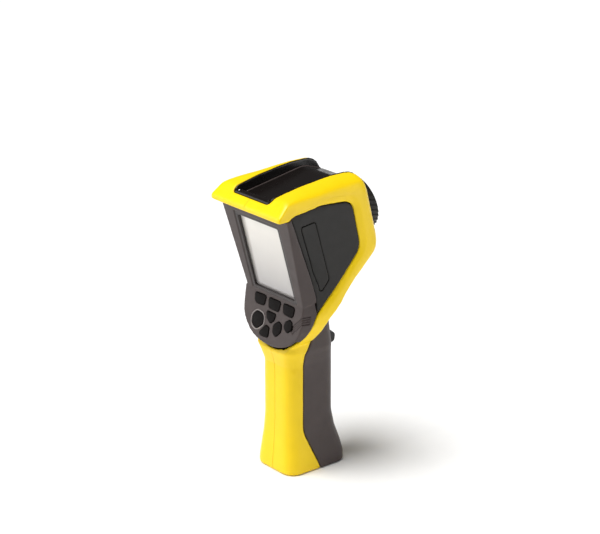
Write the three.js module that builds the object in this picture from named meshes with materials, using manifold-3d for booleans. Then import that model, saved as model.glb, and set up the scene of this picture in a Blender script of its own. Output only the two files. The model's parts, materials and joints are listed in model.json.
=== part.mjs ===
// Pistol-grip thermal imaging camera.
// Millimetres, +Z up, +Y the way the lens looks, +X the operator's right hand side.
// The origin is the middle of the flat base of the handle.
import * as THREE from 'three';
import { mergeVertices } from 'three/addons/utils/BufferGeometryUtils.js';
import Module from 'manifold-3d';

const wasm = await Module();
wasm.setup();

// ---------- driving dimensions ----------

const GAP = 0.3; // room between pieces that lie against one another
const WALL = 2.8; // moulded shell thickness
const SIDE_PANEL_RECESS = 2.4; // side panels lie this far below the outer shell
const SIDE_PANEL_THICKNESS = 2.2;

const HEAD_TILT = THREE.MathUtils.degToRad(14.6); // the head looks up from the handle
const HEAD_PIVOT_HEIGHT = 228.1; // the optical axis crosses the handle's middle plane here
const KEYPAD_LEAN = THREE.MathUtils.degToRad(10.4);
const KEYPAD_ORIGIN = [1.2, -30.5, 162]; // middle of the row of soft keys
const ROOF_SLOPE = THREE.MathUtils.degToRad(0.5); // the roof's flat crest rises towards the lens
const ROOF_ORIGIN = [0, -15, 283.4];
const ROOF_FALL = 17.6; // the roof's flanks drop this far between the crest and 60 mm out
const ROOF_CREST = 28.5; // half width of the flat crest

const SCREEN_HALF_WIDTH = 26.8;
const SCREEN_BOTTOM = -45;
const SCREEN_TOP = 26.5;
const BEZEL_PLANE = -44.4; // along the optical axis
const SCREEN_PLANE = -39;

const LENS_HOLE_RADIUS = 20.8;
const BARREL_RADIUS = 20.4;
const RING_INNER_RADIUS = 23.6;
const RING_OUTER_RADIUS = 27.6;
const RING_REAR = 60.2;
const RING_FRONT = 70.6;
const LENS_DROP = -5.5; // the lens sits below the middle of the head

const KEY_TRAVEL = 0.9;
const KEY_CLEARANCE = 0.35;
const KEY_RISE = 0.9; // the key tops stand this far above the keypad
const KEYPAD_THICKNESS = 2.4;

const TRIGGER_PIVOT = [0, 12.5, 129];
const TRIGGER_HALF_WIDTH = 5.4;
const PIN_RADIUS = 1.25;

const COVER_HINGE = [0, -50.4, 266.6]; // hinge line of the connector cover, along X
const BASE_HINGE = [0, -17.4, 2.3]; // hinge line of the battery door, along X

// An outline is a list of corners [a, b, radius].

// Side view of the yellow shell's head, as [y, z, radius].
const HEAD_SIDE = [
  [-40, 116, 0], [-63.1, 255.9, 1.2], [-62.8, 260.6, 1.6], [-50.5, 271.8, 12], [-4, 281.2, 80], [12, 283.6, 60],
  [44, 283, 22], [63, 212.5, 19], [17, 172.5, 30], [-1, 153, 20], [-14, 122, 0], [-24, 116, 0],
];

// Plan of the head, as [x, y] in the tilted head frame.
const HEAD_PLAN = [
  [50.8, -66, 6], [43, 57.5, 15], [-43, 57.5, 15], [-50.8, -66, 6],
];

// Section of the roof across the head, as [x, height above the crest].
const ROOF = [
  [60, -ROOF_FALL, 0], [ROOF_CREST, 0, 3], [-ROOF_CREST, 0, 3], [-60, -ROOF_FALL, 0],
  [-60, -190, 0], [60, -190, 0],
];

// Side view of everything that isn't yellow between the lens and the operator, as [y, z, radius].
const SIDE_OPENING = [
  [-80, 255.9, 0], [-51, 255.9, 3], [-46, 259.3, 8], [-13, 262.2, 40], [24.8, 258.4, 12], [35.6, 213, 14],
  [-14.4, 162, 25], [-35.9, 115, 0], [-80, 115, 0],
];

// Seam between the bezel's flanks and the side panels, from the bottom up, as [y, z, radius].
const SEAM = [[-14.6, 160, 0], [-17.6, 178, 6], [-25.6, 200, 30], [-50, 262, 0]];

// Side view of the display bezel and the keypad shield below it, as [y, z, radius].
const BEZEL_SIDE = [
  [-54.7, 262, 0], [-29.2, 169.2, 2], [-37.2, 125.5, 6], [-35.6, 118, 2], [-20, 118, 0], ...SEAM,
];

// Side view of the region that the side panels may fill, as [y, z, radius].
const AHEAD_OF_SEAM = [[60, 155, 0], [60, 275, 0], [-55.1, 275, 0], ...SEAM.toReversed(), [-14.6, 155, 0]];

// Side view of the flap over the memory card slot, as [y, z, radius].
const CARD_DOOR_SIDE = [
  [-36.5, 247, 2], [-19.6, 248.5, 2.5], [-3.4, 192, 3], [-12.5, 181, 2], [-15.5, 190, 6], [-22, 203, 20],
];

// Side view of the grey front of the handle, as [y, z, radius].
const GRIP_SIDE = [
  [6, -5, 0], [-14, 39.3, 22], [-14, 117, 4], [1.9, 150.6, 18], [19.4, 170.2, 0], [60, 206, 0], [60, -5, 0],
];

// Levels of the handle: height, half width, rear, front, corner radius.
const HANDLE_LEVELS = [
  [0, 26, -32, 34.8, 11], [1.6, 26.8, -32.8, 35.8, 11.5], [9, 26.6, -32.6, 36, 12], [20, 25.3, -31.6, 33.4, 12],
  [36, 23.5, -30.2, 28, 12], [52, 22.5, -29.5, 24.9, 12], [104, 22.5, -29.5, 24.7, 12],
  [114, 24.5, -32.4, 23, 12], [120, 26.5, -34.4, 21.6, 12], [140, 26.5, -34, 18.6, 12], [176, 25, -30, 14, 12],
];

// Keys on the keypad, as corners [x, distance above the soft keys' middle, radius].
const KEYS = {
  key_soft_left: [[-28.1, 4.4, 2], [-11.9, 4.6, 2], [-13.7, -4.5, 2], [-27.4, -5.3, 4]],
  key_soft_middle: [[-8.7, 4.5, 1.8], [8.7, 4.5, 1.8], [7.1, -4.9, 2], [-7.1, -4.9, 2]],
  key_soft_right: [[11.9, 4.6, 2], [28.1, 4.4, 2], [27.4, -5.3, 4], [13.7, -4.5, 2]],
  key_round: [
    [-21.6, -11.6, 5], [-12.1, -13.2, 4], [-11.9, -21.6, 4], [-20, -28, 5], [-27.4, -26, 5], [-27.4, -17, 6],
  ],
  key_wedge: [[-9.3, -8.3, 1.5], [4.4, -8.1, 1.5], [2.4, -14.6, 2.5], [-2.3, -18.2, 2], [-7.8, -14.6, 2.5]],
  key_leaf: [[-7.6, -21.3, 1.8], [-2.4, -22.4, 2], [-2.8, -31.8, 2], [-17.8, -32.6, 2]],
  key_oval: [[9.7, -13, 3], [14.2, -15.6, 3], [13.6, -22.4, 4], [7, -28.6, 3], [2.4, -25, 3], [2.7, -18.2, 4]],
  key_right: [
    [23.6, -7.6, 2.5], [27.6, -9.6, 2.5], [27.9, -15.6, 4], [22.6, -20.2, 3], [17, -17.2, 3], [17.6, -12, 4],
  ],
};

// Places of the screws that join the shell's halves, as [y, z, outer half width].
const SHELL_SCREWS = {
  lower: [-21, 34, 23.4],
  upper: [-21.5, 98, 22.5],
  neck: [7, 170, 45.4],
  front: [44, 205, 43],
};
const BOSS_RADIUS = 3.6;
const SCREW_RADIUS = 1.25;
const SCREW_HEAD_RADIUS = 2.4;
const SCREW_LENGTH = 16;

const APERTURE_OFFSET = 31; // small front windows, either side of the lens
const APERTURE_DROP = -22;
const CAMERA_APERTURE_RADIUS = 4.2;
const LASER_APERTURE_RADIUS = 2.6;

const BATTERY_DOOR_PLAN = rectangle(-16.5, 16.5, -19.8, 23, 2.5);

const TRIGGER_SLOT = rectangle(-TRIGGER_HALF_WIDTH - 0.5, TRIGGER_HALF_WIDTH + 0.5, 106, 127.4, 1.5);

const SHIELD_CENTRE = 152;
const CREASE = -49.3; // height in the head where the display's frame meets the shield

// Sections of the display's frame: distance along the optical axis, half widths at -75 and at 45.
const FLANK_SECTIONS = [[-75, 30.4, 48.3], [-45, 37.8, 47.9], [-22, 44.5, 47.6], [40, 44.5, 47.6]];

// Sections of the shield: distance along Y, half width, depth, half width at the top.
const SHIELD_SECTIONS = [[-10, 44.5, 32, 48], [-45, 39.5, 27, 30]];

const WELL_WALL = 1.8;

// Sockets in the well's floor, as plans [x, y, radius] of the housing and of the hole for the plug.
const SOCKETS = {
  usb_socket: {
    outline: rectangle(-17, -3.4, -33, -27, 0.6),
    mouth: rectangle(-16.2, -4.2, -31.8, -28.2, 0.3),
  },
  video_socket: {
    outline: rectangle(2, 17.6, -33.2, -26.8, 0.8),
    mouth: rectangle(2.8, 16.8, -31.9, -28.1, 0.3),
  },
  power_socket: {
    outline: rectangle(-5, 5, -16, -6, 4.9),
    mouth: rectangle(-1.9, 1.9, -12.9, -9.1, 1.85),
  },
};
const SOCKET_BOTTOM = 248;
const SOCKET_DEPTH = 8;

// ---------- materials ----------

function material(color, roughness, metalness = 0) {
  return new THREE.MeshStandardMaterial({ color, roughness, metalness });
}

const YELLOW_PLASTIC = material(0xf2dc12, 0.35);
const GREY_PLASTIC = material(0x564c4a, 0.55);
const DARK_PLASTIC = material(0x2b2928, 0.6);
const BLACK_GLOSS = material(0x191415, 0.2);
const KEY_RUBBER = material(0x14100f, 0.6);
const DISPLAY_GLASS = material(0xc9c9c6, 0.08);
const GERMANIUM = material(0x3a3d47, 0.1, 0.7);
const ALUMINIUM = material(0x8d9094, 0.35, 1);
const STEEL = material(0xc8cacc, 0.25, 1);
const BOARD_GREEN = material(0x1f5a37, 0.6);
const BATTERY_WRAP = material(0x2c3136, 0.5);

// ---------- outlines ----------

function signedArea(corners) {
  return corners.reduce((sum, [a, b], i) => {
    const [nextA, nextB] = corners[(i + 1) % corners.length];
    return sum + (a * nextB - nextA * b) / 2;
  }, 0);
}

// Moves every side of an outline inwards by a distance, and tightens its corners to match.
function inset(corners, distance) {
  const turn = Math.sign(signedArea(corners));
  const count = corners.length;
  return corners.map(([a, b, radius], i) => {
    const [beforeA, beforeB] = corners[(i + count - 1) % count];
    const [afterA, afterB] = corners[(i + 1) % count];
    const into = new THREE.Vector2(a - beforeA, b - beforeB).normalize();
    const out = new THREE.Vector2(afterA - a, afterB - b).normalize();
    const normalIn = new THREE.Vector2(-into.y, into.x).multiplyScalar(turn);
    const normalOut = new THREE.Vector2(-out.y, out.x).multiplyScalar(turn);
    const bisector = normalIn.clone().add(normalOut).normalize();
    const reach = distance / bisector.dot(normalIn);
    return [a + bisector.x * reach, b + bisector.y * reach, radius ? Math.max(radius - distance, 0.5) : 0];
  });
}

// Turns corners into a shape, with each rounded corner as an arc of short steps.
function outlineShape(corners, stepsPerCorner = 5) {
  const points = [];
  const count = corners.length;
  corners.forEach(([a, b, radius], i) => {
    const corner = new THREE.Vector2(a, b);
    if (!radius) {
      points.push(corner);
      return;
    }
    const [beforeA, beforeB] = corners[(i + count - 1) % count];
    const [afterA, afterB] = corners[(i + 1) % count];
    const toBefore = new THREE.Vector2(beforeA, beforeB).sub(corner).normalize();
    const toAfter = new THREE.Vector2(afterA, afterB).sub(corner).normalize();
    const halfAngle = Math.acos(THREE.MathUtils.clamp(toBefore.dot(toAfter), -1, 1)) / 2;
    const centre = corner.clone().add(
      toBefore.clone().add(toAfter).normalize().multiplyScalar(radius / Math.sin(halfAngle)));
    const start = corner.clone().addScaledVector(toBefore, radius / Math.tan(halfAngle)).sub(centre);
    const end = corner.clone().addScaledVector(toAfter, radius / Math.tan(halfAngle)).sub(centre);
    let sweep = end.angle() - start.angle();
    if (sweep > Math.PI) sweep -= 2 * Math.PI;
    if (sweep < -Math.PI) sweep += 2 * Math.PI;
    for (let step = 0; step <= stepsPerCorner; step += 1) {
      const angle = start.angle() + sweep * step / stepsPerCorner;
      points.push(new THREE.Vector2(Math.cos(angle), Math.sin(angle)).multiplyScalar(radius).add(centre));
    }
  });
  return new THREE.Shape(points);
}

function circleShape(radius, a = 0, b = 0, sides = 24) {
  const points = [];
  for (let i = 0; i < sides; i += 1) {
    const angle = 2 * Math.PI * i / sides;
    points.push(new THREE.Vector2(a + radius * Math.cos(angle), b + radius * Math.sin(angle)));
  }
  return new THREE.Shape(points);
}

function rectangle(a0, a1, b0, b1, radius = 0) {
  return [[a0, b0, radius], [a1, b0, radius], [a1, b1, radius], [a0, b1, radius]];
}

// ---------- solids ----------

function extrude(shape, depth) {
  return new THREE.ExtrudeGeometry(shape, { depth, bevelEnabled: false, steps: 1 });
}

function asShape(outline) {
  return Array.isArray(outline) ? outlineShape(outline) : outline;
}

// The outline is read as [y, z] and runs along X.
function prismAlongX(outline, fromX, toX) {
  const axes = new THREE.Matrix4().set(0, 0, 1, fromX, 1, 0, 0, 0, 0, 1, 0, 0, 0, 0, 0, 1);
  return extrude(asShape(outline), toX - fromX).applyMatrix4(axes);
}

// The outline is read as [x, z] and runs along Y.
function prismAlongY(outline, fromY, toY) {
  const axes = new THREE.Matrix4().set(1, 0, 0, 0, 0, 0, -1, toY, 0, 1, 0, 0, 0, 0, 0, 1);
  return extrude(asShape(outline), toY - fromY).applyMatrix4(axes);
}

// The outline is read as [x, y] and runs along Z.
function prismAlongZ(outline, fromZ, toZ) {
  return extrude(asShape(outline), toZ - fromZ).translate(0, 0, fromZ);
}

function box(x0, x1, y0, y1, z0, z1) {
  return new THREE.BoxGeometry(x1 - x0, y1 - y0, z1 - z0)
    .translate((x0 + x1) / 2, (y0 + y1) / 2, (z0 + z1) / 2);
}

// A skin over rings of points, closed by a flat end at each side.
function loft(rings) {
  const count = rings[0].length;
  const positions = rings.flat().flatMap((point) => point.toArray());
  const triangles = [];
  rings.slice(1).forEach((_, level) => {
    for (let i = 0; i < count; i += 1) {
      const next = (i + 1) % count;
      const low = level * count;
      const high = low + count;
      triangles.push(low + i, low + next, high + next, low + i, high + next, high + i);
    }
  });
  const last = (rings.length - 1) * count;
  for (let i = 1; i < count - 1; i += 1) {
    triangles.push(0, i + 1, i, last, last + i, last + i + 1);
  }
  const geometry = new THREE.BufferGeometry();
  geometry.setAttribute('position', new THREE.Float32BufferAttribute(positions, 3));
  geometry.setIndex(triangles);
  return geometry;
}

function solid(geometry) {
  const bare = geometry.clone();
  bare.deleteAttribute('normal');
  bare.deleteAttribute('uv');
  const merged = mergeVertices(bare, 1e-4);
  return new wasm.Manifold(new wasm.Mesh({
    numProp: 3,
    vertProperties: new Float32Array(merged.attributes.position.array),
    triVerts: new Uint32Array(merged.index.array),
  }));
}

function intersection(...geometries) {
  return geometries.map(solid).reduce((result, next) => result.intersect(next));
}

function union(...geometries) {
  return geometries.map(solid).reduce((result, next) => result.add(next));
}

function cut(base, ...geometries) {
  return geometries.reduce((result, next) => result.subtract(solid(next)), base);
}

function geometryOf(manifold) {
  const mesh = manifold.getMesh();
  const geometry = new THREE.BufferGeometry();
  geometry.setAttribute('position', new THREE.Float32BufferAttribute(mesh.vertProperties, 3));
  geometry.setIndex(Array.from(mesh.triVerts));
  const flat = geometry.toNonIndexed();
  flat.computeVertexNormals();
  return flat;
}

// ---------- frames ----------

const model = new THREE.Group();
const head = new THREE.Group();
head.position.set(0, 0, HEAD_PIVOT_HEIGHT);
head.rotation.x = HEAD_TILT;
head.updateMatrix();
const keypad = new THREE.Group();
keypad.position.set(...KEYPAD_ORIGIN);
keypad.rotation.x = -KEYPAD_LEAN;
keypad.updateMatrix();
const roofFrame = new THREE.Matrix4().makeRotationX(ROOF_SLOPE).setPosition(...ROOF_ORIGIN);
model.add(head, keypad);

function inHead(geometry) {
  return geometry.applyMatrix4(head.matrix);
}

function addPiece(parent, name, shape, look) {
  const geometry = shape.isBufferGeometry ? shape : geometryOf(shape);
  const mesh = new THREE.Mesh(geometry, look);
  mesh.name = name;
  parent.add(mesh);
}

// ---------- body envelopes ----------

// Front view of the bowl under the head: a half ellipse with flaring sides above it, as [x, z].
function bowl(centreHeight, halfWidth, depth, topHalfWidth) {
  const points = [];
  const steps = 16;
  for (let i = 0; i <= steps; i += 1) {
    const angle = Math.PI + Math.PI * i / steps;
    points.push([halfWidth * Math.cos(angle), centreHeight + depth * Math.sin(angle), 0]);
  }
  points.push([topHalfWidth, 262, 0], [topHalfWidth, 300, 0], [-topHalfWidth, 300, 0], [-topHalfWidth, 262, 0]);
  return points;
}

function headEnvelope(depth) {
  return intersection(
    prismAlongX(inset(HEAD_SIDE, depth), -60, 60),
    inHead(prismAlongZ(inset(HEAD_PLAN, depth), -140, 80)),
    prismAlongY(bowl(170, 46 - depth, 52 - depth, 51 - depth), -80, 90),
    prismAlongY(inset(ROOF, depth), -80, 100).applyMatrix4(roofFrame),
  );
}

function handleEnvelope(depth, bottom = 0) {
  const levels = HANDLE_LEVELS.map(([height, halfWidth, rear, front, radius]) => {
    const corners = inset(rectangle(-halfWidth, halfWidth, rear, front, radius), depth);
    return outlineShape(corners).getPoints().map((point) => new THREE.Vector3(point.x, point.y, height));
  });
  if (depth) {
    levels[0].forEach((point) => point.setZ(bottom));
  }
  return loft(levels);
}

// Plan of the accessory well in the roof, as [x, y]; it widens towards the lens.
function wellPlan(depth) {
  return inset([[-25.7, -55.4, 3], [25.7, -55.4, 3], [30.2, 75, 0], [-30.2, 75, 0]], depth);
}

// Side view of the well below a line that runs from its rear floor to its front lip.
function wellSide(depth) {
  return inset([[-70, 254.6, 0], [44, 263.2, 0], [75, 265.5, 0], [75, 310, 0], [-70, 310, 0]], depth);
}

function well(depth) {
  const plan = prismAlongZ(wellPlan(depth), 240, 310);
  return geometryOf(intersection(plan, prismAlongX(wellSide(depth), -40, 40)));
}

// ---------- yellow shell ----------

// Lugs on either side of the base opening that hold the battery door's pin.
function baseLugs() {
  const [, hingeY, hingeZ] = BASE_HINGE;
  const bore = prismAlongX(circleShape(PIN_RADIUS, hingeY, hingeZ, 12), -16.6, 16.6);
  return cut(union(box(-18, -13.6, -20.6, -14.6, 0, 5), box(13.6, 18, -20.6, -14.6, 0, 5)), bore);
}

function yellowShell() {
  const outer = headEnvelope(0).add(solid(handleEnvelope(0)));
  const inner = headEnvelope(WALL).add(solid(handleEnvelope(WALL, WALL)));
  const bosses = Object.values(SHELL_SCREWS).map(([y, z, halfWidth]) =>
    prismAlongX(circleShape(BOSS_RADIUS, y, z, 12), -halfWidth + 1, halfWidth - 1));
  const walls = bosses.reduce((shell, boss) => shell.add(solid(boss)), outer.subtract(inner));
  const open = cut(
    walls,
    prismAlongX(SIDE_OPENING, -60, 60),
    prismAlongX(inset(GRIP_SIDE, -GAP), -60, 60),
    well(0),
    inHead(prismAlongY(circleShape(LENS_HOLE_RADIUS, 0, LENS_DROP, 32), 40, 70)),
    inHead(prismAlongY(circleShape(CAMERA_APERTURE_RADIUS, -APERTURE_OFFSET, APERTURE_DROP, 16), 40, 70)),
    inHead(prismAlongY(circleShape(LASER_APERTURE_RADIUS, APERTURE_OFFSET, APERTURE_DROP, 12), 40, 70)),
    prismAlongZ(inset(BATTERY_DOOR_PLAN, -GAP), -2, WALL + 2),
  );
  return open.add(baseLugs());
}

function screwHole([y, z, halfWidth]) {
  const seat = halfWidth - 4.5;
  return [
    prismAlongX(circleShape(SCREW_HEAD_RADIUS + GAP, y, z, 12), -60, -seat),
    prismAlongX(circleShape(SCREW_RADIUS + GAP, y, z, 12), -seat - 1, -seat + SCREW_LENGTH + 1),
  ];
}

function buildShell() {
  const shell = yellowShell();
  const half = (side) => box(0.15, 70, -90, 90, -5, 300).rotateZ(side > 0 ? 0 : Math.PI);
  const holes = Object.values(SHELL_SCREWS).flatMap(screwHole);
  addPiece(model, 'housing_left', cut(shell, ...holes).intersect(solid(half(-1))), YELLOW_PLASTIC);
  addPiece(model, 'housing_right', shell.intersect(solid(half(1))), YELLOW_PLASTIC);
}

function buildShellScrews() {
  Object.entries(SHELL_SCREWS).forEach(([place, [y, z, halfWidth]]) => {
    const seat = halfWidth - 4.5;
    const headLength = 2;
    const profile = [
      [0, 0], [SCREW_HEAD_RADIUS, 0], [SCREW_HEAD_RADIUS, headLength], [SCREW_RADIUS, headLength],
      [SCREW_RADIUS, headLength + SCREW_LENGTH - 1.2], [0, headLength + SCREW_LENGTH],
    ].map(([radius, along]) => new THREE.Vector2(radius, along));
    const screw = new THREE.LatheGeometry(profile, 10).rotateZ(-Math.PI / 2)
      .translate(-seat - headLength - GAP, y, z);
    addPiece(model, `shell_screw_${place}`, screw, STEEL);
  });
}

// ---------- grip ----------

function buildGrip() {
  const outer = solid(handleEnvelope(0));
  const inner = solid(handleEnvelope(WALL, WALL));
  const grip = cut(
    outer.subtract(inner).intersect(solid(prismAlongX(GRIP_SIDE, -60, 60))),
    prismAlongY(TRIGGER_SLOT, 10, 40),
    prismAlongZ(inset(BATTERY_DOOR_PLAN, -GAP), -2, WALL + 2),
    geometryOf(headEnvelope(-GAP)),
  );
  addPiece(model, 'grip_front', grip, GREY_PLASTIC);
}

// ---------- side panels ----------

function sideSheet(side) {
  const outerDepth = SIDE_PANEL_RECESS;
  const innerDepth = SIDE_PANEL_RECESS + SIDE_PANEL_THICKNESS;
  const sheet = (depth) => intersection(
    inHead(prismAlongZ(inset(HEAD_PLAN, depth), -140, 80)),
    prismAlongY(bowl(170, 46 - depth, 52 - depth, 51 - depth), -80, 90),
  );
  const oneSide = box(Math.min(side * 20, side * 70), Math.max(side * 20, side * 70), -90, 90, 90, 290);
  return sheet(outerDepth).subtract(sheet(innerDepth)).intersect(solid(oneSide));
}

function sidePanel(side) {
  return sideSheet(side)
    .intersect(solid(prismAlongX(inset(SIDE_OPENING, GAP), -60, 60)))
    .intersect(solid(prismAlongX(inset(AHEAD_OF_SEAM, GAP), -60, 60)));
}

function buildSidePanels() {
  addPiece(model, 'side_panel_left', sidePanel(-1), DARK_PLASTIC);
  const right = cut(sidePanel(1), prismAlongX(inset(CARD_DOOR_SIDE, -GAP), 0, 60));
  addPiece(model, 'side_panel_right', right, DARK_PLASTIC);
}

// ---------- bezel with the keypad shield ----------

function flankEnvelope() {
  const rings = FLANK_SECTIONS.map(([along, low, high]) => [
    new THREE.Vector3(-low, along, -75), new THREE.Vector3(low, along, -75),
    new THREE.Vector3(high, along, 45), new THREE.Vector3(-high, along, 45),
  ]);
  return inHead(loft(rings.toReversed()));
}

function shieldEnvelope() {
  return loft(SHIELD_SECTIONS.map(([along, halfWidth, depth, topHalfWidth]) =>
    bowl(SHIELD_CENTRE, halfWidth, depth, topHalfWidth).map(([x, z]) => new THREE.Vector3(x, along, z))));
}

function bezelEnvelope() {
  const side = prismAlongX(BEZEL_SIDE, -60, 60);
  const frame = intersection(side, flankEnvelope(), inHead(box(-60, 60, -90, 60, CREASE, 60)));
  const shield = intersection(side, shieldEnvelope(), inHead(box(-60, 60, -90, 60, -140, CREASE)));
  return frame.add(shield).intersect(solid(prismAlongX(inset(SIDE_OPENING, GAP), -60, 60)));
}

function buildBezel() {
  const window = [
    [-SCREEN_HALF_WIDTH - 1.5, SCREEN_BOTTOM - 1.5, 2], [SCREEN_HALF_WIDTH + 1.5, SCREEN_BOTTOM - 1.5, 2],
    [SCREEN_HALF_WIDTH + 1.5, SCREEN_TOP + 0.7, 2], [-SCREEN_HALF_WIDTH - 1.5, SCREEN_TOP + 0.7, 2],
  ];
  const hollow = inHead(prismAlongY(rectangle(-34, 34, -51, 28, 2), BEZEL_PLANE + 4.2, 60));
  const keypadHollow = prismAlongY(rectangle(-33, 33, -38, 6.2, 12), KEYPAD_THICKNESS, 60)
    .applyMatrix4(keypad.matrix);
  const keyHoles = Object.values(KEYS).map((outline) =>
    prismAlongY(inset(outline, -KEY_CLEARANCE), -10, 20).applyMatrix4(keypad.matrix));
  const bezel = cut(
    bezelEnvelope(),
    inHead(prismAlongY(window, -90, 60)),
    hollow,
    keypadHollow,
    well(0),
    ...keyHoles,
  );
  addPiece(model, 'rear_bezel', bezel, GREY_PLASTIC);
}

// ---------- display and keys ----------

function buildDisplay() {
  const glass = prismAlongY(rectangle(-33.4, 33.4, -50.4, 27.4, 2), SCREEN_PLANE - 0.6, SCREEN_PLANE + 0.8);
  addPiece(head, 'display_window', glass, DISPLAY_GLASS);
  const panel = prismAlongY(rectangle(-32.5, 32.5, -50, 27, 1), SCREEN_PLANE + 1.2, SCREEN_PLANE + 5);
  addPiece(head, 'display_module', panel, DARK_PLASTIC);
}

function buildKeys() {
  Object.entries(KEYS).forEach(([name, outline]) => {
    const cap = prismAlongY(outline, -KEY_RISE, KEYPAD_THICKNESS + 1);
    addPiece(keypad, name, cap, KEY_RUBBER);
  });
  const boardFront = KEYPAD_THICKNESS + 1 + KEY_TRAVEL + 0.4;
  const board = prismAlongY(rectangle(-28, 28, -32, 5, 12), boardFront, boardFront + 1.6);
  addPiece(keypad, 'keypad_board', board, BOARD_GREEN);
}

// ---------- lens ----------

// A turned piece on the lens axis, from a profile of [radius, distance along the axis].
function lathe(profile, sides) {
  const points = profile.map(([radius, along]) => new THREE.Vector2(radius, along));
  return new THREE.LatheGeometry(points, sides).translate(0, 0, LENS_DROP);
}

function buildLens() {
  // A tube with a collar against the shell; its front bore carries the lens.
  const barrel = [
    [16.5, 30], [BARREL_RADIUS, 30], [BARREL_RADIUS, 57.5 + GAP], [26, 57.5 + GAP], [26, RING_REAR - GAP],
    [RING_INNER_RADIUS - GAP, RING_REAR - GAP], [RING_INNER_RADIUS - GAP, RING_FRONT - 1.2],
    [20.5, RING_FRONT - 1.2],
    [18.3, 64], [18.3, 60], [16.5, 60], [16.5, 30],
  ];
  addPiece(head, 'lens_barrel', lathe(barrel, 40), BLACK_GLOSS);
  const ring = [
    [RING_INNER_RADIUS, RING_REAR], [RING_OUTER_RADIUS - 0.8, RING_REAR], [RING_OUTER_RADIUS, RING_REAR + 1],
    [RING_OUTER_RADIUS, RING_FRONT - 2.5], [RING_OUTER_RADIUS - 2.5, RING_FRONT], [RING_INNER_RADIUS, RING_FRONT],
    [RING_INNER_RADIUS, RING_REAR],
  ];
  addPiece(head, 'focus_ring', lathe(ring, 40), DARK_PLASTIC);
  const lens = [[0, 60 + GAP], [18, 60 + GAP], [18, 62], [12, 63.8], [6, 64.7], [0, 65]];
  addPiece(head, 'germanium_lens', lathe(lens, 32), GERMANIUM);
  const rearLens = [[0, 40], [16.2, 40], [16.2, 43], [8, 44.2], [0, 44.6]];
  addPiece(head, 'rear_lens', lathe(rearLens, 32), GERMANIUM);
  const core = prismAlongY(rectangle(-19, 19, LENS_DROP - 20, LENS_DROP + 20, 2), 4, 29.6);
  addPiece(head, 'detector_core', core, ALUMINIUM);
}

function buildFrontWindows() {
  const disc = (radius, x) => prismAlongY(circleShape(radius - GAP, x, APERTURE_DROP, 16), 54.6, 56.6);
  addPiece(head, 'camera_window', disc(CAMERA_APERTURE_RADIUS, -APERTURE_OFFSET), BLACK_GLOSS);
  addPiece(head, 'laser_window', disc(LASER_APERTURE_RADIUS, APERTURE_OFFSET), BLACK_GLOSS);
  const visible = prismAlongY(rectangle(-APERTURE_OFFSET - 3.5, -APERTURE_OFFSET + 3.5, -25.5, -18.5), 42, 52);
  addPiece(head, 'visible_camera', visible, BOARD_GREEN);
  const laser = prismAlongY(circleShape(3, APERTURE_OFFSET, APERTURE_DROP, 16), 40, 52);
  addPiece(head, 'laser_diode', laser, ALUMINIUM);
}

// ---------- well, connector cover and sockets ----------

function buildWell() {
  const linerPlan = [[-25.4, -55.1, 3], [25.4, -55.1, 3], [28.7, 47.2, 2], [-28.7, 47.2, 2]];
  const hollow = geometryOf(intersection(
    prismAlongZ(inset(linerPlan, WELL_WALL), 240, 310),
    prismAlongX([[-70, 256.8, 0], [44, 265.3, 0], [75, 265.3, 0], [75, 310, 0], [-70, 310, 0]], -40, 40),
  ));
  const openFront = box(-27, 27, 44, 60, 265.3, 300);
  const pinHole = prismAlongX(circleShape(PIN_RADIUS + 0.15, COVER_HINGE[1], COVER_HINGE[2], 12), -24.9, 24.9);
  const socketHoles = Object.values(SOCKETS).map(({ outline }) =>
    prismAlongZ(inset(outline, -GAP), 250, 262));
  const liner = cut(headEnvelope(0).intersect(solid(well(GAP))), hollow, openFront, pinHole, ...socketHoles);
  addPiece(model, 'top_well', liner, BLACK_GLOSS);
}

function buildSockets() {
  Object.entries(SOCKETS).forEach(([name, { outline, mouth }]) => {
    const middle = (outline[0][1] + outline[2][1]) / 2;
    const floor = 256.8 + (middle + 70) * 8.5 / 114;
    const housing = solid(prismAlongZ(outline, SOCKET_BOTTOM, floor));
    addPiece(model, name, cut(housing, prismAlongZ(mouth, floor - SOCKET_DEPTH, floor + 1)), STEEL);
  });
}

function buildConnectorCover() {
  const [, hingeY, hingeZ] = COVER_HINGE;
  const plate = [
    [-48.6, 260.6, 0], [22, 271.7, 30], [47.6, 265.9, 0], [48.4, 267.8, 0.8], [24.5, 275, 26], [-48.6, 263.4, 0],
  ];
  const outline = inset([[-25.4, -50.2, 2], [25.4, -50.2, 2], [28.9, 60, 0], [-28.9, 60, 0]], WELL_WALL + 0.4);
  const lid = intersection(prismAlongX(plate, -40, 40), prismAlongZ(outline, 240, 300));
  const knuckle = prismAlongX([
    [hingeY + 1.5, 260.8, 0], [hingeY + 6, 261.6, 0], [hingeY + 6, 264.4, 0], [hingeY + 2.4, hingeZ + 0.6, 0],
    [hingeY + 1.6, hingeZ + 1.9, 0], [hingeY - 0.4, hingeZ + 2.3, 0], [hingeY - 2, hingeZ + 1.4, 0],
    [hingeY - 2.4, hingeZ - 0.6, 0], [hingeY - 1.6, hingeZ - 2.4, 0],
  ], -20.5, 20.5);
  const bore = prismAlongX(circleShape(PIN_RADIUS + 0.15, hingeY, hingeZ, 12), -30, 30);
  addPiece(model, 'connector_cover', cut(lid.add(solid(knuckle)), bore), BLACK_GLOSS);
  const pin = prismAlongX(circleShape(PIN_RADIUS - 0.15, hingeY, hingeZ, 12), -24.6, 24.6);
  addPiece(model, 'connector_cover_pin', pin, STEEL);
}

// ---------- memory card flap ----------

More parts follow.
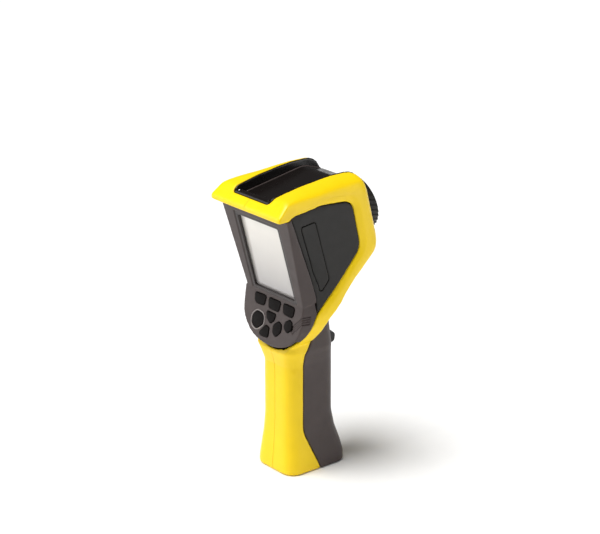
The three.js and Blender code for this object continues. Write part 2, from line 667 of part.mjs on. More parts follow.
function buildCardDoor() {
  const door = sideSheet(1).intersect(solid(prismAlongX(CARD_DOOR_SIDE, 0, 60)));
  addPiece(model, 'card_door', door, DARK_PLASTIC);
  const reader = box(14, 39.8, -18.2, -13.4, 203.5, 229.5);
  const slot = box(16, 60, -17, -14.6, 205.2, 227.8);
  addPiece(model, 'card_reader', cut(solid(reader), slot), ALUMINIUM);
}

// ---------- trigger ----------

function buildTrigger() {
  const [, pivotY, pivotZ] = TRIGGER_PIVOT;
  const blade = [
    [pivotY - 3.4, pivotZ + 2.6, 2], [pivotY + 3.2, pivotZ + 2.6, 2], [18.4, 125.4, 1], [31, 124.2, 4],
    [38, 118.4, 4], [36.6, 111.4, 3], [28, 109.4, 2], [20, 110, 1], [14, 114, 2], [pivotY - 3.4, pivotZ - 4, 2],
  ];
  const trigger = cut(
    solid(prismAlongX(blade, -TRIGGER_HALF_WIDTH, TRIGGER_HALF_WIDTH)),
    prismAlongX(circleShape(PIN_RADIUS + 0.15, pivotY, pivotZ, 12), -20, 20),
  );
  addPiece(model, 'trigger', trigger, BLACK_GLOSS);
  const pin = prismAlongX(circleShape(PIN_RADIUS - 0.15, pivotY, pivotZ, 12), -9.4, 9.4);
  addPiece(model, 'trigger_pin', pin, STEEL);
  const bracket = cut(
    solid(box(-9.6, 9.6, 2, 15.4, 104, 136)),
    box(-6, 6, 5, 30, 100, 140),
    prismAlongX(circleShape(PIN_RADIUS + 0.15, pivotY, pivotZ, 12), -9.45, 9.45),
  );
  addPiece(model, 'trigger_bracket', bracket, STEEL);
  addPiece(model, 'trigger_switch', box(-3, 3, 5.3, 10.8, 110, 117), KEY_RUBBER);
}

// ---------- battery ----------

function buildBattery() {
  const [, hingeY, hingeZ] = BASE_HINGE;
  const plate = prismAlongZ(BATTERY_DOOR_PLAN, 0, WALL);
  const trim = box(-30, 30, -25, hingeY, -2, 8);
  const barrel = prismAlongX(circleShape(2.2, hingeY, hingeZ, 14), -13, 13);
  const bore = prismAlongX(circleShape(PIN_RADIUS + 0.15, hingeY, hingeZ, 12), -20, 20);
  const leftNotch = box(-30, -13.3, -25, -13.6, -2, 8);
  const rightNotch = box(13.3, 30, -25, -13.6, -2, 8);
  const trimmed = cut(solid(plate), trim, leftNotch, rightNotch);
  const door = cut(trimmed.add(solid(barrel)), bore);
  addPiece(model, 'battery_door', door, GREY_PLASTIC);
  const pin = prismAlongX(circleShape(PIN_RADIUS - 0.15, hingeY, hingeZ, 12), -16.4, 16.4);
  addPiece(model, 'battery_door_pin', pin, STEEL);
  addPiece(model, 'battery_pack', prismAlongZ(rectangle(-16, 16, -14.6, 19.4, 3), 5.2, 92), BATTERY_WRAP);
  addPiece(model, 'battery_contacts', box(-14, 14, -12, 16, 92.4, 96.4), STEEL);
}

// ---------- electronics ----------

function buildElectronics() {
  addPiece(head, 'main_board', prismAlongY(rectangle(-33, 33, -46, 22, 2), -26, -24.4), BOARD_GREEN);
  addPiece(head, 'speaker', prismAlongY(circleShape(9, 18, -56, 20), -22, -17), DARK_PLASTIC);
}

buildShell();
buildShellScrews();
buildGrip();
buildSidePanels();
buildBezel();
buildDisplay();
buildKeys();
buildLens();
buildFrontWindows();
buildWell();
buildSockets();
buildConnectorCover();
buildCardDoor();
buildTrigger();
buildBattery();
buildElectronics();

export default model;
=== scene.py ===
import json
import math

import bmesh
import bpy
import numpy as np
from mathutils import Matrix, Vector


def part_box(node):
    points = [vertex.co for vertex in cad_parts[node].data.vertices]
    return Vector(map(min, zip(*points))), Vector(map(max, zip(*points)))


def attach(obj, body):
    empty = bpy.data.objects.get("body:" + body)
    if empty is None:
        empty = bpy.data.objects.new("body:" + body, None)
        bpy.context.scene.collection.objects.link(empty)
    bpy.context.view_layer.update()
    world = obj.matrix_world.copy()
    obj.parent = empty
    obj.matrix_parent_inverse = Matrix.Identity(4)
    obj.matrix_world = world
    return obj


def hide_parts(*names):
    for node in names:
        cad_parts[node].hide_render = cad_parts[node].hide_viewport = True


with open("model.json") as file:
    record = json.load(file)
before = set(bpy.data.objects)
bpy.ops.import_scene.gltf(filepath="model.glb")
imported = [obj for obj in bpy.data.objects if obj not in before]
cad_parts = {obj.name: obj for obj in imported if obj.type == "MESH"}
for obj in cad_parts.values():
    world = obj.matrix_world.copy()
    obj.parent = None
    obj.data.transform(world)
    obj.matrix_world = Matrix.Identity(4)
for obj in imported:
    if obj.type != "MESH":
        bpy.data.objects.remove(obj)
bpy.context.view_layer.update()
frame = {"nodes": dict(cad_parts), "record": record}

# ---------- camera and layout ----------

MM = 0.001
CAMERA_AZIMUTH = math.radians(50.8)
CAMERA_ELEVATION = math.radians(19.7)
CAMERA_DISTANCE = 1.797
CAMERA_TARGET = Vector((0, 0, 0.1904))
CAMERA_LENS = 119.8

HEAD_TILT = math.radians(14.6)
HEAD_PIVOT = Vector((0, 0, 228.1)) * MM
KEYPAD_LEAN = math.radians(10.4)
KEYPAD_ORIGIN = Vector((1.2, -30.5, 162)) * MM
LENS_DROP = -5.5 * MM

HEAD_MATRIX = Matrix.Translation(HEAD_PIVOT) @ Matrix.Rotation(HEAD_TILT, 4, "X")
KEYPAD_MATRIX = Matrix.Translation(KEYPAD_ORIGIN) @ Matrix.Rotation(-KEYPAD_LEAN, 4, "X")

# Outlines of the CAD envelopes in millimetres, each corner as [a, b, radius].
HEAD_SIDE = [
    [-40, 116, 0], [-63.1, 255.9, 1.2], [-62.8, 260.6, 1.6], [-50.5, 271.8, 12], [-4, 281.2, 80],
    [12, 283.6, 60], [44, 283, 22], [63, 212.5, 19], [17, 172.5, 30], [-1, 153, 20], [-14, 122, 0],
    [-24, 116, 0],
]
HEAD_PLAN = [[50.8, -66, 6], [43, 57.5, 15], [-43, 57.5, 15], [-50.8, -66, 6]]
ROOF_ORIGIN_HEIGHT = 283.4
ROOF_ORIGIN_ALONG = -15
ROOF_RISE = math.tan(math.radians(0.5))
ROOF_CREST = 28.5
ROOF_FALL_PER_MM = 17.6 / 31.5
SIDE_OPENING = [
    [-80, 255.9, 0], [-51, 255.9, 3], [-46, 259.3, 8], [-13, 262.2, 40], [24.8, 258.4, 12],
    [35.6, 213, 14], [-14.4, 162, 25], [-35.9, 115, 0], [-80, 115, 0],
]
CARD_POCKET = [[-14.4, 192.6, 2], [-18.6, 184.4, 2], [-21.8, 198.6, 2], [-17.6, 198.6, 2]]


# ---------- outlines and distances ----------

def rounded(corners, steps=6):
    """Points of an outline whose corners [a, b, radius] are rounded."""
    points = []
    count = len(corners)
    for i, (a, b, radius) in enumerate(corners):
        corner = np.array([a, b], float)
        if not radius:
            points.append(corner)
            continue
        before = np.array(corners[i - 1][:2], float) - corner
        after = np.array(corners[(i + 1) % count][:2], float) - corner
        before /= np.linalg.norm(before)
        after /= np.linalg.norm(after)
        half = math.acos(np.clip(before @ after, -1, 1)) / 2
        bisector = (before + after) / np.linalg.norm(before + after)
        centre = corner + bisector * radius / math.sin(half)
        start = corner + before * radius / math.tan(half) - centre
        end = corner + after * radius / math.tan(half) - centre
        first = math.atan2(start[1], start[0])
        sweep = math.atan2(end[1], end[0]) - first
        sweep = (sweep + math.pi) % (2 * math.pi) - math.pi
        for step in range(steps + 1):
            angle = first + sweep * step / steps
            points.append(centre + radius * np.array([math.cos(angle), math.sin(angle)]))
    return np.array(points)


def outline_distance(points, outline):
    """Distance of each 2-D point from a closed outline, negative inside it."""
    nearest = np.full(len(points), 1e9)
    inside = np.zeros(len(points), bool)
    for start, end in zip(outline, np.roll(outline, -1, axis=0)):
        edge = end - start
        along = np.clip(((points - start) @ edge) / (edge @ edge), 0, 1)
        nearest = np.minimum(nearest, np.linalg.norm(points - start - along[:, None] * edge, axis=1))
        crosses = (start[1] > points[:, 1]) != (end[1] > points[:, 1])
        height = edge[1] if abs(edge[1]) > 1e-9 else 1e-9
        inside ^= crosses & (points[:, 0] < start[0] + (points[:, 1] - start[1]) / height * edge[0])
    return np.where(inside, -nearest, nearest)


def bowl_outline():
    """Front view of the bowl under the head, as [x, z] in millimetres."""
    angles = np.linspace(math.pi, 2 * math.pi, 25)
    arc = np.stack([46 * np.cos(angles), 170 + 52 * np.sin(angles)], axis=1)
    return np.vstack([arc, [[51, 262], [51, 300], [-51, 300], [-51, 262]]])


SIDE_POINTS = rounded(HEAD_SIDE)
PLAN_POINTS = rounded(HEAD_PLAN)
BOWL_POINTS = bowl_outline()
OPENING_POINTS = rounded(SIDE_OPENING)
POCKET_POINTS = rounded(CARD_POCKET)


def envelope_distances(co):
    """Signed distances in millimetres of points from the four envelopes whose overlap is the head."""
    side = outline_distance(co[:, 1:3], SIDE_POINTS)
    cos, sin = math.cos(HEAD_TILT), math.sin(HEAD_TILT)
    along_axis = co[:, 1] * cos + (co[:, 2] - HEAD_PIVOT.z / MM) * sin
    plan = outline_distance(np.stack([co[:, 0], along_axis], axis=1), PLAN_POINTS)
    bowl = outline_distance(co[:, [0, 2]], BOWL_POINTS)
    above = co[:, 2] - ROOF_ORIGIN_HEIGHT - (co[:, 1] - ROOF_ORIGIN_ALONG) * ROOF_RISE
    outward = np.maximum(np.abs(co[:, 0]) - ROOF_CREST, 0)
    flank = (above + outward * ROOF_FALL_PER_MM) / math.hypot(1, ROOF_FALL_PER_MM)
    roof = np.maximum(above, flank)
    return side, plan, bowl, roof


def smooth_max(a, b, blend):
    """The larger of two distances, with the edge between them rounded over a width."""
    near = np.maximum(blend - np.abs(a - b), 0) / blend
    return np.maximum(a, b) + near * near * blend / 4


def smoothstep(low, high, value):
    t = np.clip((value - low) / (high - low), 0, 1)
    return t * t * (3 - 2 * t)


EDGE_BLEND = 10.0


def rounding_amount(co):
    """How far each point lies too far out for a head with soft edges, in millimetres."""
    side, plan, bowl, roof = envelope_distances(co)
    crisp = np.maximum(np.maximum(side, plan), np.maximum(bowl, roof))
    walls = smooth_max(plan, bowl, EDGE_BLEND * 0.6)
    top = smooth_max(walls, roof, EDGE_BLEND * 1.3)
    end_blend = EDGE_BLEND * (0.35 + 0.65 * smoothstep(-45, -10, co[:, 1]))
    soft = smooth_max(top, side, end_blend)
    return soft, soft - crisp


def soften_head(co):
    """Moves the head's skin inwards along the rounded form's slope, so that its edges turn soft."""
    upper = co[:, 2] > 150
    chosen = co[upper]
    soft, amount = rounding_amount(chosen)
    step = 0.2
    slope = np.stack([rounding_amount(chosen + step * axis)[0] - soft for axis in np.eye(3)], axis=1) / step
    slope /= np.maximum(np.linalg.norm(slope, axis=1), 1e-6)[:, None]
    fade = smoothstep(160, 185, chosen[:, 2])
    moved = co.copy()
    moved[upper] = chosen - slope * (amount * fade)[:, None]
    return moved


# ---------- meshes ----------

def link(piece):
    bpy.context.scene.collection.objects.link(piece)
    return piece


def copy_node(node, name):
    """A loose copy of a CAD node with its split corners joined."""
    mesh = frame["nodes"][node].data.copy()
    mesh.materials.clear()
    piece = link(bpy.data.objects.new(name, mesh))
    edit = bmesh.new()
    edit.from_mesh(mesh)
    bmesh.ops.remove_doubles(edit, verts=edit.verts, dist=1e-6)
    edit.to_mesh(mesh)
    edit.free()
    mesh.name = name
    return piece


def bake_modifiers(piece):
    graph = bpy.context.evaluated_depsgraph_get()
    mesh = bpy.data.meshes.new_from_object(piece.evaluated_get(graph))
    piece.modifiers.clear()
    piece.data = mesh
    mesh.name = piece.name


def remesh(piece, voxel):
    modifier = piece.modifiers.new("voxels", "REMESH")
    modifier.mode = "VOXEL"
    modifier.voxel_size = voxel * MM
    modifier.use_smooth_shade = True
    bake_modifiers(piece)


def positions(piece):
    """Vertex positions in millimetres."""
    co = np.empty(len(piece.data.vertices) * 3, np.float32)
    piece.data.vertices.foreach_get("co", co)
    return co.reshape(-1, 3).astype(float) / MM


def set_positions(piece, co):
    piece.data.vertices.foreach_set("co", (co * MM).astype(np.float32).ravel())
    piece.data.update()


def relax(piece, rounds, weight=None):
    """Averages each vertex with its neighbours, which rounds the edges."""
    edges = np.empty(len(piece.data.edges) * 2, np.int32)
    piece.data.edges.foreach_get("vertices", edges)
    ends = edges.reshape(-1, 2)
    first = np.concatenate([ends[:, 0], ends[:, 1]])
    second = np.concatenate([ends[:, 1], ends[:, 0]])
    co = positions(piece)
    count = len(co)
    degree = np.maximum(np.bincount(first, minlength=count), 1)[:, None]
    share = 0.5 if weight is None else 0.5 * weight[:, None]
    for _ in range(rounds):
        total = np.stack([np.bincount(first, co[second, k], minlength=count) for k in range(3)], axis=1)
        co += (total / degree - co) * share
    set_positions(piece, co)


def shade_smooth(piece):
    piece.data.polygons.foreach_set("use_smooth", [True] * len(piece.data.polygons))
    piece.data.update()


def bevel(piece, width, segments=3, angle=30):
    """Rounds the sharp edges of a low mesh."""
    modifier = piece.modifiers.new("round", "BEVEL")
    modifier.width = width * MM
    modifier.segments = segments
    modifier.limit_method = "ANGLE"
    modifier.angle_limit = math.radians(angle)
    modifier.harden_normals = True
    shade_smooth(piece)
    bake_modifiers(piece)


def finish_piece(piece, material, body, slot, *nodes):
    piece.data.materials.clear()
    piece.data.materials.append(material)
    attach(piece, body)
    if nodes:
        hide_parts(*nodes)
    return piece


def mesh_object(name, vertices, faces):
    mesh = bpy.data.meshes.new(name)
    mesh.from_pydata([tuple(v) for v in vertices], [], faces)
    mesh.update()
    return link(bpy.data.objects.new(name, mesh))


def strip_faces(rows, sides, closed=False):
    """Quads between rows of points that each go once round; the last row joins the first if closed."""
    faces = []
    for i in range(rows if closed else rows - 1):
        here = i * sides
        after = (i + 1) % rows * sides
        for j in range(sides):
            following = (j + 1) % sides
            faces.append((here + j, here + following, after + following, after + j))
    return faces


def close_mesh(piece, merge=None):
    """Joins corners closer than a distance in metres, and turns every face outwards."""
    edit = bmesh.new()
    edit.from_mesh(piece.data)
    if merge:
        bmesh.ops.remove_doubles(edit, verts=edit.verts, dist=merge)
    bmesh.ops.recalc_face_normals(edit, faces=edit.faces)
    edit.to_mesh(piece.data)
    edit.free()
    shade_smooth(piece)


# ---------- materials ----------

def new_material(name):
    material = bpy.data.materials.new(name)
    material.use_nodes = True
    tree = material.node_tree
    shader = tree.nodes["Principled BSDF"]
    return material, tree, shader


def add_noise(tree, scale, detail=3.0, coordinates=None):
    noise = tree.nodes.new("ShaderNodeTexNoise")
    noise.inputs["Scale"].default_value = scale
    noise.inputs["Detail"].default_value = detail
    if coordinates is None:
        coordinates = tree.nodes.new("ShaderNodeTexCoord").outputs["Object"]
    tree.links.new(coordinates, noise.inputs["Vector"])
    return noise.outputs["Fac"]


def remap(tree, value, low, high, to_low, to_high):
    node = tree.nodes.new("ShaderNodeMapRange")
    tree.links.new(value, node.inputs["Value"])
    for socket, number in zip(("From Min", "From Max", "To Min", "To Max"), (low, high, to_low, to_high)):
        node.inputs[socket].default_value = number
    return node.outputs["Result"]


def mix(tree, factor, first, second):
    node = tree.nodes.new("ShaderNodeMix")
    node.data_type = "RGBA"
    tree.links.new(factor, node.inputs["Factor"])
    for socket, colour in ((node.inputs["A"], first), (node.inputs["B"], second)):
        if isinstance(colour, tuple):
            socket.default_value = (*colour, 1)
        else:
            tree.links.new(colour, socket)
    return node.outputs["Result"]


def scaled(colour, factor):
    return tuple(min(1.0, c * factor) for c in colour)


def plastic(name, colour, roughness, grain=0.03, grain_scale=1800, worn=1.5, mottling=0.08, metallic=0.0,
            specular=0.4):
    """Moulded plastic: fine grain, slightly uneven colour and gloss, and edges rubbed lighter."""
    material, tree, shader = new_material(name)
    patches = remap(tree, add_noise(tree, 55, 4), 0.3, 0.7, 0, 1)
    base = mix(tree, patches, scaled(colour, 1 - mottling), scaled(colour, 1 + mottling))
    edges = tree.nodes.new("ShaderNodeNewGeometry").outputs["Pointiness"]
    wear = remap(tree, edges, 0.53, 0.62, 0, 0.55)
    tree.links.new(mix(tree, wear, base, scaled(colour, worn)), shader.inputs["Base Color"])
    gloss = remap(tree, add_noise(tree, 160, 3), 0.25, 0.75, roughness - 0.05, roughness + 0.06)
    tree.links.new(gloss, shader.inputs["Roughness"])
    bump = tree.nodes.new("ShaderNodeBump")
    bump.inputs["Strength"].default_value = grain
    bump.inputs["Distance"].default_value = 0.0002
    tree.links.new(add_noise(tree, grain_scale, 2), bump.inputs["Height"])
    tree.links.new(bump.outputs["Normal"], shader.inputs["Normal"])
    shader.inputs["Metallic"].default_value = metallic
    shader.inputs["Specular IOR Level"].default_value = specular
    return material


def brushed_metal(name, colour, roughness):
    """Turned or drawn metal with fine streaks."""
    material, tree, shader = new_material(name)
    mapping = tree.nodes.new("ShaderNodeMapping")
    mapping.inputs["Scale"].default_value = (1, 1, 14)
    tree.links.new(tree.nodes.new("ShaderNodeTexCoord").outputs["Object"], mapping.inputs["Vector"])
    streaks = add_noise(tree, 420, 3, mapping.outputs["Vector"])
    tree.links.new(mix(tree, streaks, scaled(colour, 0.8), scaled(colour, 1.15)), shader.inputs["Base Color"])
    gloss = remap(tree, streaks, 0.2, 0.8, roughness - 0.08, roughness + 0.1)
    tree.links.new(gloss, shader.inputs["Roughness"])
    shader.inputs["Metallic"].default_value = 1.0
    return material


# Heights in metres between which a painted reflection fades in, from the display's darker lower end to its
# pale upper part.
PAINTED_REFLECTION_LOW_HEIGHT = 0.176
PAINTED_REFLECTION_HIGH_HEIGHT = 0.232


def display_glass(name):
    """A polished window over a switched-off panel, with a painted reflection that makes it pale grey,
    brightest above its middle.
    """
    material, tree, shader = new_material(name)
    place = tree.nodes.new("ShaderNodeSeparateXYZ")
    tree.links.new(tree.nodes.new("ShaderNodeTexCoord").outputs["Object"], place.inputs["Vector"])
    height = remap(tree, place.outputs["Z"], PAINTED_REFLECTION_LOW_HEIGHT, PAINTED_REFLECTION_HIGH_HEIGHT, 0, 1)
    reflection_haze = add_noise(tree, 18, 2)
    # Painted reflection: the pale colours, patched by noise, fade in above the darker grey towards the top of
    # the display.
    upper = mix(tree, reflection_haze, (0.70, 0.66, 0.61), (0.98, 0.95, 0.88))
    tree.links.new(mix(tree, height, (0.40, 0.38, 0.37), upper), shader.inputs["Base Color"])
    gloss = remap(tree, add_noise(tree, 240, 2), 0.3, 0.7, 0.05, 0.12)
    tree.links.new(gloss, shader.inputs["Roughness"])
    shader.inputs["Coat Weight"].default_value = 0.6
    shader.inputs["Coat Roughness"].default_value = 0.04
    return material


def infrared_glass(name):
    """Polished germanium: opaque, blue-grey and mirror-like, with a faint coating colour."""
    material, tree, shader = new_material(name)
    tint = mix(tree, add_noise(tree, 40, 2), (0.10, 0.11, 0.15), (0.16, 0.13, 0.17))
    tree.links.new(tint, shader.inputs["Base Color"])
    tree.links.new(remap(tree, add_noise(tree, 300, 2), 0.3, 0.7, 0.04, 0.1), shader.inputs["Roughness"])
    shader.inputs["Metallic"].default_value = 0.7
    shader.inputs["Coat Weight"].default_value = 0.5
    return material


MATERIALS = {
    "yellow_plastic": plastic("moulded_yellow", (0.98, 0.68, 0.004), 0.36, grain=0.02, worn=1.05,
                              mottling=0.02, specular=0.3),
    "grey_plastic": plastic("moulded_grey", (0.066, 0.050, 0.047), 0.46, grain=0.10, worn=1.7,
                            specular=0.3),
    "dark_plastic": plastic("moulded_dark", (0.015, 0.0135, 0.0118), 0.42, grain=0.10, worn=1.9,
                            specular=0.22),
    "black_gloss": plastic("moulded_black", (0.007, 0.005, 0.0045), 0.24, grain=0.03, worn=2.0,
                           specular=0.35),
    "key_rubber": plastic("key_rubber", (0.0055, 0.004, 0.0035), 0.5, grain=0.14, grain_scale=2600, worn=2.0,
                          specular=0.08),
    "display_glass": display_glass("display_window_painted_reflection"),
    "germanium": infrared_glass("infrared_lens_glass"),
    "aluminium": brushed_metal("machined_aluminium", (0.42, 0.43, 0.45), 0.34),
    "steel": brushed_metal("bright_steel", (0.62, 0.63, 0.65), 0.26),
    "board_green": plastic("circuit_board", (0.02, 0.10, 0.045), 0.5, grain=0.2, grain_scale=700),
    "battery_wrap": plastic("battery_case", (0.025, 0.030, 0.037), 0.45, grain=0.08),
}
COLLAR_GREY = plastic("moulded_collar", (0.26, 0.23, 0.22), 0.38, grain=0.05, worn=1.4)
# A darker grey for the recessed step round the display: painted shade.
STEP_PAINTED_SHADE = plastic("frame_step_painted_shade", (0.040, 0.032, 0.030), 0.4, grain=0.08, worn=1.7)


def colour_frame_nodes():
    for entry in frame["record"]["subparts"]:
        node = frame["nodes"][entry["node"]]
        node.data.materials.clear()
        node.data.materials.append(MATERIALS[entry["material_slot"]])


# ---------- yellow shell ----------

BEVEL_WIDTH = 7.5
BEVEL_DEPTH = 2.3


def press_opening_rim(co):
    """Leans the yellow wall inwards towards the side opening's edge, except under the rear of the roof."""
    side, plan, bowl, roof = envelope_distances(co)
    on_wall = smoothstep(24, 32, np.abs(co[:, 0])) * smoothstep(0, 3, roof * -1)
    distance = np.abs(outline_distance(co[:, 1:3], OPENING_POINTS))
    lean = (1 - smoothstep(0, BEVEL_WIDTH, distance)) * BEVEL_DEPTH
    rear_fade = 1 - (1 - smoothstep(-34, 6, co[:, 1])) * smoothstep(236, 246, co[:, 2])
    low_fade = smoothstep(150, 172, co[:, 2])
    moved = co.copy()
    moved[:, 0] -= np.sign(co[:, 0]) * lean * on_wall * rear_fade * low_fade
    return moved


def half_shell(whole, side, name):
    """Cuts one half from the smoothed shell, closed flat along the seam."""
    piece = link(bpy.data.objects.new(name, whole.data.copy()))
    edit = bmesh.new()
    edit.from_mesh(piece.data)
    cut = bmesh.ops.bisect_plane(
        edit, geom=edit.verts[:] + edit.edges[:] + edit.faces[:], dist=1e-7,
        plane_co=(side * 0.15 * MM, 0, 0), plane_no=(side, 0, 0), clear_inner=True)
    rim = [e for e in cut["geom_cut"] if isinstance(e, bmesh.types.BMEdge)]
    bmesh.ops.triangle_fill(edit, use_beauty=True, edges=rim, normal=(-side, 0, 0))
    bmesh.ops.recalc_face_normals(edit, faces=edit.faces)
    for face in edit.faces:
        face.smooth = abs(face.normal.x) < 0.999 or abs(face.calc_center_median().x) > 0.2 * MM
    edit.to_mesh(piece.data)
    edit.free()
    return piece


def build_shell():
    left = copy_node("housing_left", "shell_blank")
    right = copy_node("housing_right", "shell_blank_right")
    for half in (left, right):
        co = positions(half)
        seam = np.abs(co[:, 0]) < 0.2
        co[seam, 0] *= -3
        set_positions(half, co)
    joined = bmesh.new()
    joined.from_mesh(left.data)
    joined.from_mesh(right.data)
    joined.to_mesh(left.data)
    joined.free()
    bpy.data.objects.remove(right)
    remesh(left, 0.8)
    co = press_opening_rim(soften_head(positions(left)))
    set_positions(left, co)
    relax(left, 9)
    for side, name, node in ((-1, "shell_left", "housing_left"), (1, "shell_right", "housing_right")):
        half = half_shell(left, side, name)
        finish_piece(half, MATERIALS["yellow_plastic"], "body", "yellow_plastic", node)
    bpy.data.objects.remove(left)


# ---------- other moulded pieces ----------

def soft_copy(node, name, voxel, rounds, slot, body="body", shape=None, weight=None):
    """A CAD node remeshed and relaxed so that its edges are rounded as mouldings are."""
    piece = copy_node(node, name)
    remesh(piece, voxel)
    if shape:
        set_positions(piece, shape(positions(piece)))
    relax(piece, rounds, weight(positions(piece)) if weight else None)
    shade_smooth(piece)
    return finish_piece(piece, MATERIALS[slot], body, slot, node)


PANEL_TOP = 262.2
PANEL_TOP_CENTRE = -5
PANEL_TOP_CURVE = 0.0016
PANEL_CROWN_HEIGHT = 9
PANEL_CROWN_LEAN = 1.8
POCKET_DEPTH = 1.3


def crown_panel(co):
    """Rounds the side panels over towards their top edge."""
    top = PANEL_TOP - PANEL_TOP_CURVE * (co[:, 1] - PANEL_TOP_CENTRE) ** 2
    lean = np.maximum(1 - (top - co[:, 2]) / PANEL_CROWN_HEIGHT, 0) ** 2 * PANEL_CROWN_LEAN
    moved = co.copy()
    moved[:, 0] -= np.sign(co[:, 0]) * lean
    return moved


def shape_right_panel(co):
    """The right panel also has a finger pocket behind the card flap."""
    moved = crown_panel(co)
    depth = POCKET_DEPTH * (1 - smoothstep(-1.6, 0.2, outline_distance(co[:, 1:3], POCKET_POINTS)))
    moved[:, 0] -= depth * smoothstep(-3.4, -2.2, envelope_distances(co)[1])
    return moved


def build_side_panels():
    soft_copy("side_panel_left", "side_cover_left", 0.6, 4, "dark_plastic", shape=crown_panel)
    soft_copy("side_panel_right", "side_cover_right", 0.6, 4, "dark_plastic", shape=shape_right_panel)
    soft_copy("card_door", "card_flap", 0.5, 4, "dark_plastic", body="card_door")


def keypad_coordinates(co):
    """Points in the keypad's own frame, in millimetres."""
    inverse = np.array(KEYPAD_MATRIX.inverted())
    return co @ inverse[:3, :3].T + inverse[:3, 3] / MM


def head_coordinates(co):
    """Points in the head's own frame, in millimetres."""
    inverse = np.array(HEAD_MATRIX.inverted())
    return co @ inverse[:3, :3].T + inverse[:3, 3] / MM


# Speaker slits in millimetres, laid out as [x, up] in the keypad's plane. They run back from it over the
# shield's edge as far as SLIT_REACH, and are pressed into the surface along its own slope.
SLIT_START = (45.3, 0.8)
SLIT_END = (26.6, -18.1)
SLIT_OFFSETS = (-2.4, -0.8, 0.8, 2.4)
SLIT_REACH = 9
SLIT_DEPTH = 1.3
SLIT_SOFTNESS = 0.5


def vertex_normals(piece):
    normals = np.empty(len(piece.data.vertices) * 3, np.float32)
    piece.data.vertex_normals.foreach_get("vector", normals)
    return normals.reshape(-1, 3).astype(float)


def slit_depth(co):
    """How deep the speaker's slits are at each point, in millimetres."""
    local = keypad_coordinates(co)
    run = np.array(SLIT_END) - np.array(SLIT_START)
    length = np.linalg.norm(run)
    along = run / length
    across = np.array([-along[1], along[0]])
    place = local[:, [0, 2]] - np.array(SLIT_START)
    on_length = smoothstep(0, 1.5, place @ along) * (1 - smoothstep(length - 1.5, length, place @ along))
    groove = sum(np.exp(-((place @ across - centre) / SLIT_SOFTNESS) ** 2) for centre in SLIT_OFFSETS)
    near_face = 1 - smoothstep(SLIT_REACH - 1, SLIT_REACH, local[:, 1])
    return SLIT_DEPTH * groove * on_length * near_face


# The display's window and the step round it, in the head's frame in millimetres.
WINDOW_HALF_WIDTH = 28.3
WINDOW_BOTTOM = -46.5
WINDOW_TOP = 27.2
STEP_WIDTH = 3.6
STEP_DEPTH = 0.9


def window_distance(head):
    """Distance outside the display's window, in millimetres."""
    return np.maximum(
        np.abs(head[:, 0]) - WINDOW_HALF_WIDTH,
        np.maximum(WINDOW_BOTTOM - head[:, 2], head[:, 2] - WINDOW_TOP))


def step_depth(co):
    """How deep the step round the display is at each point, in millimetres."""
    head = head_coordinates(co)
    ring = 1 - smoothstep(STEP_WIDTH - 0.3, STEP_WIDTH + 0.3, window_distance(head))
    above_crease = smoothstep(-49.2, -48.6, head[:, 2])
    front = 1 - smoothstep(-41.8, -41.0, head[:, 1])
    return STEP_DEPTH * ring * above_crease * front


def carve_bezel(piece):
    co = positions(piece)
    co -= vertex_normals(piece) * slit_depth(co)[:, None]
    depth = step_depth(co)
    co[:, 1] += depth * math.cos(HEAD_TILT)
    co[:, 2] += depth * math.sin(HEAD_TILT)
    set_positions(piece, co)


def paint_step_shade(piece):
    """The step round the display gets a darker grey, as painted shade in its recess."""
    piece.data.materials.append(STEP_PAINTED_SHADE)
    count = len(piece.data.polygons)
    centres = np.empty(count * 3, np.float32)
    piece.data.polygons.foreach_get("center", centres)
    head = head_coordinates(centres.reshape(-1, 3).astype(float) / MM)
    painted_shade_faces = (window_distance(head) < STEP_WIDTH) & (head[:, 2] > -49.0) & (head[:, 1] < -38)
    piece.data.polygons.foreach_set("material_index", painted_shade_faces.astype(np.int32))
    piece.data.update()


def bezel_weight(co):
    """Outer edges soften more than the edges of the display window and the keys."""
    head = head_coordinates(co)
    keys = keypad_coordinates(co)
    at_window = (np.abs(head[:, 0]) < 33) & (head[:, 2] > -52) & (head[:, 2] < 32)
    at_keys = (np.abs(keys[:, 0]) < 31) & (keys[:, 2] > -36) & (keys[:, 2] < 7.5)
    return np.where(at_window | at_keys, 0.12, 1.0)


def build_bezel():
    bezel = copy_node("rear_bezel", "display_bezel")
    remesh(bezel, 0.45)
    relax(bezel, 14, bezel_weight(positions(bezel)))
    carve_bezel(bezel)
    relax(bezel, 1)
    shade_smooth(bezel)
    finish_piece(bezel, MATERIALS["grey_plastic"], "body", "grey_plastic", "rear_bezel")
    paint_step_shade(bezel)


def build_well():
    soft_copy("top_well", "roof_well", 0.6, 3, "black_gloss", shape=soften_head)
    soft_copy("connector_cover", "socket_cover", 0.5, 4, "black_gloss", body="connector_cover")


# Side view of the connector cover's top, as [y, z, radius] in millimetres.
LID_TOP = rounded([[-48.6, 263.4, 0], [24.5, 275, 26], [48.4, 267.8, 0.8], [0, 200, 0]])
LID_TOP_LOWEST = 260
BEAD_START = -43
BEAD_END = 45
BEAD_STEPS = 60
BEAD_RADIUS = 0.75
BEAD_RISE = 0.15
BEAD_END_TAPER = 0.55
BEAD_REAR_SIDE = 22.6
BEAD_REAR = -50.2
BEAD_SPREAD = 3.5 / 110


def lid_height(y):
    """Height of the connector cover's top above a place along it, in millimetres."""
    points = LID_TOP[(LID_TOP[:, 1] > LID_TOP_LOWEST)]
    points = points[np.argsort(points[:, 0])]
    return float(np.interp(y, points[:, 0], points[:, 1]))


